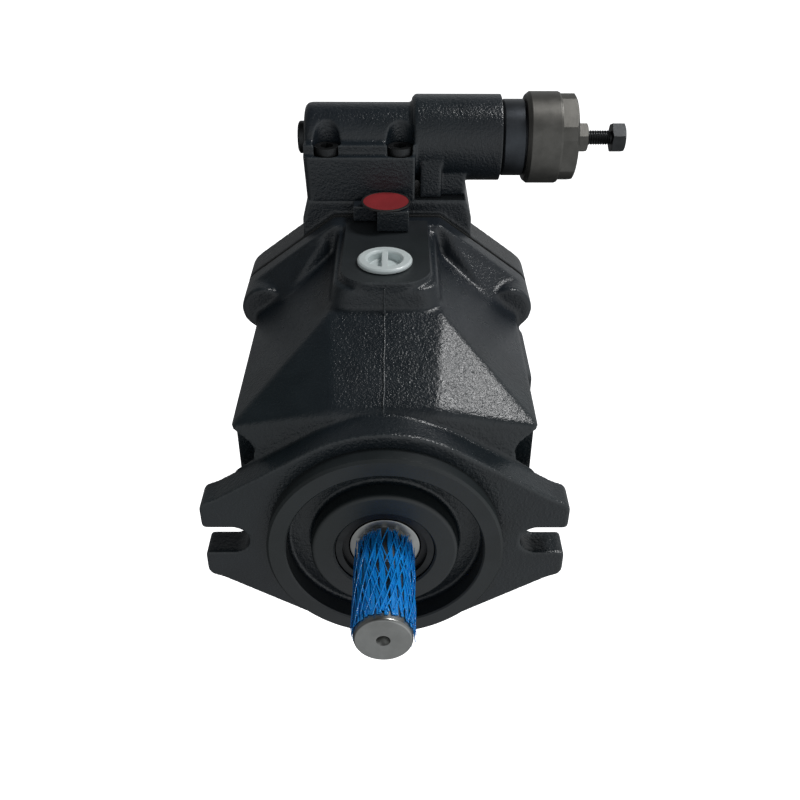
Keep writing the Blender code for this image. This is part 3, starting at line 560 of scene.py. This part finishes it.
def seam():
    """The casting's parting line: a thin, slightly broken ridge down the middle of the front."""
    path = [(0.0, 51.9, 72.6), (0.0, 51.1, 68.0), (0.0, 49.0, 63.6), (0.0, 38.0, 59.0),
            (0.0, 26.0, 54.0), (0.0, 13.6, 48.9), (0.0, 11.8, 47.0)]
    mesh = bmesh.new()
    rings = []
    steps = 90
    for i in range(steps + 1):
        along = i / steps * (len(path) - 1)
        k = min(int(along), len(path) - 2)
        spot = Vector(path[k]).lerp(Vector(path[k + 1]), along - k)
        wobble = noise.noise(Vector((3.1, i * 0.16, 0.7)))
        radius = 0.34 + 0.16 * noise.noise(Vector((9.0, i * 0.33, 2.0)))
        spot.x += -0.3 + 0.35 * wobble
        section = []
        for j in range(8):
            turn = 2 * math.pi * j / 8
            section.append(mesh.verts.new(spot + Vector((radius * math.cos(turn), 0.0,
                                                         0.8 * radius * math.sin(turn)))))
        rings.append(section)
    bridge(mesh, rings)
    finish_piece(solid(mesh), "casting_seam", "housing", [CAST], (), 0)


# ---------------------------------------------------------------- rear cover

def kidney(side, half_width, steps=16):
    outer = arc((0, 0), 26.0 + half_width, -62, 62, steps)
    inner = arc((0, 0), 26.0 - half_width, 62, -62, steps)
    return [(side * x, z) for x, z in outer + inner]


def rear_cover():
    plate = prism(rim_outline(21.6, (38.8, 62.3), (54.5, 50.6)), "Y", 112.0, 129.0)
    blocks = [
        box((-40.0, 40.0), (120.0, 165.6), (-34.0, 46.0)),
        prism(mirrored([(32.1, 80.9), (34.6, 72.9), (34.9, 40.0)]), "Y", 112.9, 158.0),
    ]
    plate = combine(plate, "UNION", blocks)
    plate = cast(plate, 0.8, 4)
    cuts = [box((-70, 70), (100, 112.6), (-90, 90), MACHINED),
            box((-70, 70), (165.0, 170), (-90, 90), MACHINED),
            box((-31.4, 31.4), (113.6, 157.4), (PEDESTAL_TOP, 84), MACHINED)]
    plate = combine(plate, "DIFFERENCE", cuts)
    plate = combine(plate, "UNION", [
        turned([(0, 84.0), (4.1, 84.0), (4.1, 100.0), (6.3, 100.0), (6.3, 120.0), (0, 120.0)], "Y",
               (0, -46.3), 32, MACHINED)])
    bores = [
        turned([(0, 110.0), (13.0, 110.0), (13.0, 126.0), (10.5, 126.0), (10.5, 130.0), (0, 130.0)],
               "Y", (0, 0), 64, MACHINED),
        disc(2.9, "Y", (0, -46.3), 80.0, 112.0, 24, MACHINED),
        disc(2.5, "Y", (0, 48.0), 110.0, 129.5, 16, MACHINED),
        disc(2.5, "Z", (0, 128.5), 47.0, 83.0, 16, MACHINED),
        turned([(0, 140.0), (13.0, 140.0), (13.0, 163.6), (14.4, 165.0), (14.4, 168.0), (0, 168.0)],
               "Y", (-19.0, -2.0), 64, MACHINED),
        turned([(0, 140.0), (10.0, 140.0), (10.0, 163.8), (11.2, 165.0), (11.2, 168.0), (0, 168.0)],
               "Y", (19.0, -2.0), 64, MACHINED),
        prism(kidney(-1, 3.4), "Y", 110.0, 141.0, MACHINED),
        prism(kidney(1, 3.4), "Y", 110.0, 141.0, MACHINED),
    ]
    bores += [disc(4.4, "Y", spot, 110.0, 132.0, 24, MACHINED) for spot in COVER_SCREWS]
    bores += [disc(3.3, "Z", spot, 60.0, 83.0, 20, MACHINED) for spot in COMP_SCREWS]
    plate = combine(plate, "DIFFERENCE", bores)
    finish_piece(plate, "rear_cover_casting", "housing", None, ["rear_cover"])


# ---------------------------------------------------------------- compensator

def compensator():
    at = COMP_AT
    body = turned([(0, -33.4), (10.9, -33.4), (12.6, -32.9), (13.6, -31.8), (13.9, -30.3),
                   (13.9, 13.0), (0, 13.0)], "X", at, 96)
    parts = [
        hull([(x, y, z) for z, low in ((80.0, -32.5), (98.6, -33.4))
              for x, y in [(11.2, 113.0), (11.2, 155.0)]
              + [(u, v) for u, v in arc((low + 3.0, 116.0), 3.0, -90, -180, 5)]
              + [(u, v) for u, v in arc((low + 3.0, 152.0), 3.0, 180, 90, 5)]]),
        box((-33.2, 11.2), (116.0, 152.0), (97.0, 102.6)),
        turned([(0, 10.0), (15.6, 10.0), (17.1, 11.5), (17.1, 46.4), (0, 46.4)], "X", at, 64),
        box((13.5, 22.0), (117.3, 152.0), (80.0, 99.8)),
        box((20.0, 32.0), (120.0, 150.0), (80.0, 92.0)),
    ]
    body = combine(body, "UNION", parts)
    pockets = [disc(5.6, "Z", spot, 96.2, 125.0, 32) for spot in COMP_SCREWS]
    body = combine(body, "DIFFERENCE", pockets)
    body = cast(body, 0.55, 4)
    cuts = [box((-60, 60), (100, 170), (60, 80.6), MACHINED),
            box((46.0, 60), (100, 170), (70, 130), MACHINED),
            box((-60, -33.4), (124.5, 143.5), (90, 109), MACHINED)]
    body = combine(body, "DIFFERENCE", cuts)
    bores = [
        turned([(0, -40.0), (6.3, -40.0), (6.3, 13.0), (12.6, 13.0), (12.6, 38.0), (14.4, 38.0),
                (14.4, 50.0), (0, 50.0)], "X", at, 64, MACHINED),
        disc(2.5, "Z", (0, 128.5), 78.0, 99.8, 16, MACHINED),
    ]
    for spot in COMP_SCREWS:
        bores.append(disc(3.3, "Z", spot, 78.0, 104.0, 20, MACHINED))
        bores.append(disc(5.4, "Z", spot, 96.2, 98.4, 32, MACHINED))
    body = combine(body, "DIFFERENCE", bores)
    finish_piece(body, "compensator_casting", "housing", None, ["compensator_body"])


def thread(radius, depth, pitch, axis, centre, low, high, segments=40):
    """A helical thread's outer surface with chamfered ends, as one closed solid."""
    mesh = bmesh.new()
    per_turn = 4
    step = pitch / per_turn
    count = int((high - low) / step)
    rings = [[mesh.verts.new(place(axis, *centre, low))]]
    for i in range(count + 1):
        along = low + step * i
        ends = min(1.0, (along - low) / pitch, (high - along) / pitch)
        section = []
        for j in range(segments):
            turn = j / segments
            phase = (i / per_turn - turn) % 1.0
            crest = 1.0 - abs(2.0 * phase - 1.0)
            r = radius - depth * (1.0 - crest) - (1.0 - max(0.0, ends)) * depth
            section.append(mesh.verts.new(place(axis, centre[0] + r * math.cos(2 * math.pi * turn),
                                                centre[1] + r * math.sin(2 * math.pi * turn),
                                                along)))
        rings.append(section)
    rings.append([mesh.verts.new(place(axis, *centre, low + step * count))])
    bridge(mesh, rings, False)
    return solid(mesh)


def chamfered_hex(flats, axis, centre, low, high, turn_deg, cham_low, cham_high):
    """A hexagon bar whose corners are turned off at both ends, as on a nut."""
    corner = flats / 2 / math.cos(math.radians(30))
    bar = prism(hexagon(flats, turn_deg, centre), axis, low, high)
    inner = flats / 2 * 0.96
    cone = turned([(0, low), (inner if cham_low else corner + 1, low),
                   (corner + 1.0, low + (corner + 1.0 - inner) * 0.5 * cham_low + 0.001),
                   (corner + 1.0, high - (corner + 1.0 - inner) * 0.5 * cham_high - 0.001),
                   (inner if cham_high else corner + 1, high), (0, high)], axis, centre, 72)
    return combine(bar, "INTERSECT", [cone])


def adjuster():
    at = COMP_AT
    neck = turned(softened([(11.2, 38.3), (14.0, 38.3), (14.0, 46.2), (14.5, 46.4), (15.2, 47.3),
                            (15.2, 55.4), (14.2, 55.4), (14.2, 68.0), (11.2, 68.0)], 0.25, 2), "X",
                  at, 128)
    finish_piece(neck, "spring_housing_turned", "housing", [HOUSING_STEEL], ["spring_housing"])
    cap = turned(softened([(14.4, 56.0), (16.9, 56.0), (18.2, 57.6), (18.2, 69.2), (17.9, 69.6),
                           (17.9, 75.4), (16.4, 76.4), (3.3, 76.4),
                           (3.3, 68.3), (14.4, 68.3)], 0.2, 2), "X", at, 144)
    flats = prism(hexagon(33.4, 187, at), "X", 69.0, 80.0)
    away = combine(ring(3.0, 40.0, "X", at, 69.8, 80.0, 24), "DIFFERENCE", [flats])
    cap = combine(cap, "DIFFERENCE", [away])
    finish_piece(cap, "compensator_cap_turned", "housing", [CAP_STEEL], ["compensator_cap"])
    nut = chamfered_hex(10.8, "X", at, 77.3, 82.2, 7.0, 0.0, 1.0)
    nut = combine(nut, "UNION", [turned(softened([(0, 76.7), (6.6, 76.7), (6.6, 77.6), (0, 77.6)],
                                                 0.2), "X", at, 64)])
    nut = combine(nut, "DIFFERENCE", [disc(3.2, "X", at, 76.0, 84.0, 48)])
    finish_piece(nut, "lock_nut_hex", "lock_nut", [CAP_STEEL], ["lock_nut"])
    stem = thread(2.95, 0.42, 1.0, "X", at, 68.0, 92.4)
    head = chamfered_hex(10.8, "X", at, 92.0, 97.5, 7.0, 0.6, 1.0)
    socket = prism(hexagon(4.0, 7.0, at), "X", 94.4, 99.0)
    head = combine(head, "DIFFERENCE", [socket])
    screw = combine(stem, "UNION", [head])
    finish_piece(screw, "adjusting_screw_threaded", "pressure_screw", [BLACK_OXIDE],
                 ["adjusting_screw"])
    plug = turned(softened([(0, -36.5), (5.4, -36.5), (6.5, -35.8), (6.5, -33.7), (5.9, -33.7),
                            (5.9, -29.6), (0, -29.6)], 0.3), "X", at, 64)
    plug = combine(plug, "DIFFERENCE", [prism(hexagon(5.0, 0, at), "X", -38.0, -33.0)])
    finish_piece(plug, "end_plug_turned", "housing", [BLACK_OXIDE], ["end_plug"])


def cap_screw(axis, centre, seat, shank_r, head_r, head_len, shank_len, across, name, node):
    top = seat + head_len
    knurls = 48
    mesh_profile = softened([(0, seat - shank_len), (shank_r - 0.5, seat - shank_len),
                             (shank_r, seat - shank_len + 0.8), (shank_r, seat), (head_r, seat),
                             (head_r, top), (0, top)], 0.45, 2)
    screw = turned(mesh_profile, axis, centre, knurls * 2)
    along = AXES[axis][2]
    for vertex in screw.data.vertices:
        a, b = (vertex.co[AXES[axis][0]] - centre[0], vertex.co[AXES[axis][1]] - centre[1])
        radius = math.hypot(a, b)
        if radius > head_r * 0.97 and seat + 0.5 < vertex.co[along] < top - 0.4:
            turn = round(math.atan2(b, a) / (2 * math.pi) * knurls * 2)
            scale = 1.0 if turn % 2 else 1.0 - 0.16 / radius
            vertex.co[AXES[axis][0]] = centre[0] + a * scale
            vertex.co[AXES[axis][1]] = centre[1] + b * scale
    socket = prism(hexagon(across, 0, centre), axis, top - head_len * 0.5, top + 1)
    screw = combine(screw, "DIFFERENCE", [socket])
    finish_piece(screw, name, "housing", [BLACK_OXIDE], [node], 28.0)


def fasteners():
    for across, x in (("left", -50.0), ("right", 50.0)):
        for up, z in (("upper", 42.0), ("lower", -42.0)):
            cap_screw("Y", (x, z), COVER_SCREW_SEAT, 4.0, 6.5, 8.0, 28.0, 6.0,
                      f"cover_screw_{up}_{across}", f"cover_bolt_{up}_{across}")
    for across, x in (("left", -24.0), ("right", 5.2)):
        for end, y in (("front", 119.0), ("rear", 149.0)):
            cap_screw("Z", (x, y), COMP_SCREW_SEAT, 2.9, 4.9, 5.0, 34.0, 5.0,
                      f"socket_screw_{end}_{across}", f"compensator_screw_{end}_{across}")


# ---------------------------------------------------------------- fittings on the case

def case_fittings():
    for name, x, y, top, spot, shank in (
            ("front", (-3.7, 8.7), (94.7, 107.1), 83.9, FRONT_PLUG_AT, 2.8),
            ("rear", (-13.4, -4.2), (104.9, 111.1), 81.7, REAR_PLUG_AT, 2.1)):
        square = [(x[0], y[0]), (x[1], y[0]), (x[1], y[1]), (x[0], y[1])]
        head = rounded_prism(square, "Z", PAD_TOP + 0.4, top, 0.0, 0.5)
        head = combine(head, "UNION", [disc(shank, "Z", spot, 66.0, 77.0, 32)])
        head = cast(head, 0.26, 3)
        cuts = [ring(shank + 0.4, 20.0, "Z", spot, 60.0, 75.3, 32, MACHINED)]
        if name == "front":
            cuts.append(disc(2.1, "Z", spot, 77.0, 90.0, 32, MACHINED))
        head = combine(head, "DIFFERENCE", cuts)
        finish_piece(head, f"square_plug_{name}", "housing", None, [f"case_plug_{name}"])
    cap = turned(softened([(0, 62.0), (6.4, 62.0), (7.2, 64.0), (7.2, 75.3), (10.2, 75.3),
                           (10.2, 76.4), (9.5, 77.0), (7.0, 77.0), (6.3, 76.2), (6.1, 73.6),
                           (0, 73.6)], 0.3, 3), "Z", DRAIN_AT, 72)
    bar = rounded_prism([(-1.6, 61.6), (0.8, 61.6), (0.8, 75.0), (-1.6, 75.0)], "Z", 73.0, 76.5,
                        0.0, 0.4)
    cap = combine(cap, "UNION", [bar])
    finish_piece(cap, "shipping_cap", "drain_cap", [WHITE], ["drain_cap"])


def red_disc():
    """A thin red tag that lies on the front plug, with a dark rolled rim and a stem."""
    at = (-0.3, 102.9)
    rim = turned(softened([(0, 84.15), (9.75, 84.15), (9.75, 84.85), (8.9, 84.85), (8.9, 84.55),
                           (0, 84.55)], 0.15, 2), "Z", at, 96, TAG_RIM)
    field = turned(softened([(0, 84.3), (9.05, 84.3), (9.05, 84.75), (0, 84.75)], 0.1, 2), "Z", at,
                   96, RED)
    plate = combine(rim, "UNION", [field, disc(1.8, "Z", FRONT_PLUG_AT, 78.6, 84.4, 24, TAG_RIM)])
    finish_piece(plate, "red_disc", "housing", None, ["red_tag"])


# ---------------------------------------------------------------- shaft, seal and net

def shaft():
    body = turned([(0, -45.2), (8.84, -45.2), (9.1, -45.05), (9.35, -44.7), (9.525, -44.2),
                   (9.525, -3.3), (10.4, -3.05), (11.7, -2.9), (12.2, -2.7), (12.4, -2.2),
                   (12.4, 3.6),
                   (12.3, 6.0), (12.3, 18.9), (11.2, 19.6), (11.2, 104.6), (9.5, 106.2),
                   (9.5, 126.2), (8.7, 127.0), (0, 127.0)], "Y", (0, 0), 128)
    for i in range(8):
        tooth = box((-1.1, 1.1), (53.0, 104.0), (10.4, 11.9))
        tooth.data.transform(Matrix.Rotation(2 * math.pi * i / 8, 4, "Y"))
        body = combine(body, "UNION", [tooth])
    keyway = prism([(-2.4, -20.0), (2.4, -20.0)] + arc((0, -39.8), 2.4, 0, -180, 16), "Z", 7.0,
                   14.0)
    drill = turned([(0, -39.6), (1.1, -40.4), (1.1, -43.0), (2.3, -45.15), (2.3, -47.0),
                    (0, -47.0)], "Y", (0, 0), 48)
    body = combine(body, "DIFFERENCE", [keyway, drill])
    finish_piece(body, "drive_shaft_turned", "rotating_group", [SHAFT_STEEL], ["drive_shaft"])
    seal = turned(softened([(12.65, -2.6), (17.2, -2.9), (17.2, 3.1), (15.9, 3.1), (15.9, -1.6),
                            (13.6, -1.6), (13.6, 1.2), (12.65, 0.4)], 0.3, 2), "Y", (0, 0), 96)
    finish_piece(seal, "lip_seal", "housing", [RUBBER], ["shaft_seal"])
    clip = ring(14.9, 17.2, "Y", (0, 0), -4.8, -3.6, 96)
    clip = combine(clip, "DIFFERENCE", [box((-2.2, 2.2), (-6, -2), (-19, -13))])
    finish_piece(clip, "retaining_ring", "housing", [BLACK_OXIDE], ["seal_retaining_ring"])


def strand(mesh, turn0, turns, low, high, radius, width, thick, seed, swell):
    """One flat thread of the net, wound round the shaft from low to high."""
    steps = 44
    rings = []
    for i in range(steps + 1):
        t = i / steps
        along = low + (high - low) * t
        turn = turn0 + turns * 2 * math.pi * t
        turn += 0.05 * noise.noise(Vector((seed, t * 3.1, 0.4)))
        r = radius + swell * noise.noise(Vector((seed * 1.7, t * 4.3, 2.0)))
        w = width * (1.0 + 0.35 * noise.noise(Vector((seed * 0.9, t * 5.0, 7.0))))
        out = Vector((math.cos(turn), 0.0, math.sin(turn)))
        slope = turns * 2 * math.pi * r
        side = Vector((-math.sin(turn), 0.0, math.cos(turn)))
        run = (side * slope + Vector((0, high - low, 0))).normalized()
        flat = run.cross(out)
        centre = out * r + Vector((0, along, 0))
        section = []
        for k in range(6):
            spin = 2 * math.pi * k / 6
            section.append(mesh.verts.new(centre + flat * (w * math.cos(spin))
                                          + out * (thick * math.sin(spin))))
        rings.append(section)
    bridge(mesh, rings)


def net():
    """The protective net: a dense inner layer, and thin threads over it wound both ways."""
    random.seed(7)
    mesh = bmesh.new()
    layers = ((40, 0.035, 9.86, (0.62, 0.74, 0.84)), (26, 0.17, 10.18, (0.18, 0.26, 0.36)),
              (26, -0.15, 10.42, (0.18, 0.26, 0.36)))
    for layer, (count, turns, radius, widths) in enumerate(layers):
        for i in range(count):
            turn0 = 2 * math.pi * (i + random.uniform(-0.3, 0.3)) / count
            low = -43.4 + random.uniform(0.0, 1.8 if layer == 0 else 2.8)
            high = -4.0 - random.uniform(0.0, 1.6)
            strand(mesh, turn0, turns + random.uniform(-0.03, 0.03), low, high,
                   radius + random.uniform(-0.03, 0.08), random.choice(widths), 0.12,
                   10.0 * layer + i * 1.37, 0.07)
    finish_piece(solid(mesh), "net_sleeve", "shaft_sleeve", [NET], ["shaft_mesh_sleeve"],
                 0)


# ---------------------------------------------------------------- inner pieces keep their solids

def dress_inner_pieces():
    bronze = ["cradle_bearing", "valve_plate", "cylinder_block"]
    bronze += [f"slipper_{i}" for i in range(1, 10)]
    steel = ["front_bearing_cup", "front_bearing_cone", "rear_needle_bearing", "control_cylinder",
             "control_piston", "bias_spring_seat", "compensator_spool", "adjuster_plunger",
             "retainer_ball_guide", "retainer_plate", "swash_plate"]
    steel += [f"piston_{i}" for i in range(1, 10)]
    springs = ["bias_spring", "compensator_spring", "barrel_spring"]
    for names, mat in ((bronze, BRONZE), (steel, INNER_STEEL), (springs, SPRING_STEEL),
                       (["case_gasket"], FIBRE)):
        for name in names:
            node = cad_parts[name]
            node.data.materials.clear()
            node.data.materials.append(mat)


# ---------------------------------------------------------------- stage, light and camera

def camera():
    turn, pitch, roll = math.radians(0.173), math.radians(34.678), math.radians(0.170)
    ahead = Vector((math.sin(turn) * math.cos(pitch), math.cos(turn) * math.cos(pitch),
                    -math.sin(pitch)))
    right = Vector((math.cos(turn), -math.sin(turn), 0.0))
    up = right.cross(ahead)
    across = right * math.cos(roll) + up * math.sin(roll)
    above = up * math.cos(roll) - right * math.sin(roll)
    data = bpy.data.cameras.new("camera")
    data.lens = 41.4
    data.sensor_width = 36.0
    data.clip_start, data.clip_end = 0.01, 20.0
    thing = bpy.data.objects.new("camera", data)
    scene.collection.objects.link(thing)
    basis = Matrix((across, above, -ahead)).transposed().to_4x4()
    basis.translation = Vector((0.004450, -0.239667, 0.226520))
    thing.matrix_world = basis
    scene.camera = thing


def area_light(name, spot, target, size, power, colour=(1, 1, 1)):
    data = bpy.data.lights.new(name, "AREA")
    data.shape = "RECTANGLE"
    data.size, data.size_y = size
    data.energy = power
    data.color = colour
    thing = bpy.data.objects.new(name, data)
    scene.collection.objects.link(thing)
    thing.location = spot
    thing.rotation_mode = "QUATERNION"
    thing.rotation_quaternion = (Vector(target) - Vector(spot)).to_track_quat("-Z", "Y")


def sky():
    """A dark studio with a bright band in front and low, seen as plain white by the camera."""
    world = bpy.data.worlds.new("studio")
    world.use_nodes = True
    tree = world.node_tree
    background = tree.nodes["Background"]
    coords = add(tree, "ShaderNodeTexCoord").outputs["Generated"]
    lobes = [((0.10, -0.95, -0.30), 0.60, 0.47), ((0.0, -0.85, 0.50), 0.30, 0.15),
             ((0.51, 0.845, 0.156), 0.26, 0.42), ((-0.60, 0.78, 0.18), 0.24, 0.14),
             ((0.90, -0.42, -0.05), 0.45, 0.50), ((-0.95, -0.30, 0.10), 0.40, 0.08)]
    total = None
    for aim, width, level in lobes:
        dot = add(tree, "ShaderNodeVectorMath", operation="DOT_PRODUCT")
        tree.links.new(coords, dot.inputs[0])
        dot.inputs[1].default_value = Vector(aim).normalized()
        fall = add(tree, "ShaderNodeMapRange", interpolation_type="SMOOTHSTEP")
        fall.inputs["From Min"].default_value = 1.0 - 1.6 * width
        fall.inputs["From Max"].default_value = 1.0
        fall.inputs["To Min"].default_value = 0.0
        fall.inputs["To Max"].default_value = level
        tree.links.new(dot.outputs["Value"], fall.inputs["Value"])
        total = fall.outputs["Result"] if total is None else math_node(tree, "ADD", total,
                                                                       fall.outputs["Result"])
    dim = math_node(tree, "ADD", total, 0.045)
    seen = add(tree, "ShaderNodeLightPath").outputs["Is Camera Ray"]
    mix = add(tree, "ShaderNodeMix", data_type="FLOAT")
    tree.links.new(seen, mix.inputs["Factor"])
    tree.links.new(dim, mix.inputs["A"])
    mix.inputs["B"].default_value = 1.05
    tree.links.new(mix.outputs["Result"], background.inputs["Strength"])
    background.inputs["Color"].default_value = (0.96, 0.985, 1.0, 1.0)
    scene.world = world


def stage():
    mesh = bmesh.new()
    bmesh.ops.create_grid(mesh, x_segments=1, y_segments=1, size=6.0)
    floor = solid(mesh)
    floor.name = "floor"
    floor.location = (0.0, 0.0, -0.30)
    mat, _, shader = new_material("floor_white", (0.93, 0.93, 0.93), 0.9)
    shader.inputs["Emission Color"].default_value = (1.0, 1.0, 1.0, 1.0)
    shader.inputs["Emission Strength"].default_value = 1.0
    floor.data.materials.append(mat)
    floor.visible_glossy = False
    floor.visible_diffuse = False
    sky()
    scene.view_settings.view_transform = "Standard"
    aim = (0.0, 0.04, 0.03)
    area_light("key", (0.47 + aim[0], 0.18 + aim[1], 0.86 + aim[2]), aim, (0.22, 0.22), 5.4)


casing()
seam()
rear_cover()
compensator()
adjuster()
fasteners()
case_fittings()
red_disc()
shaft()
net()
dress_inner_pieces()
camera()
stage()
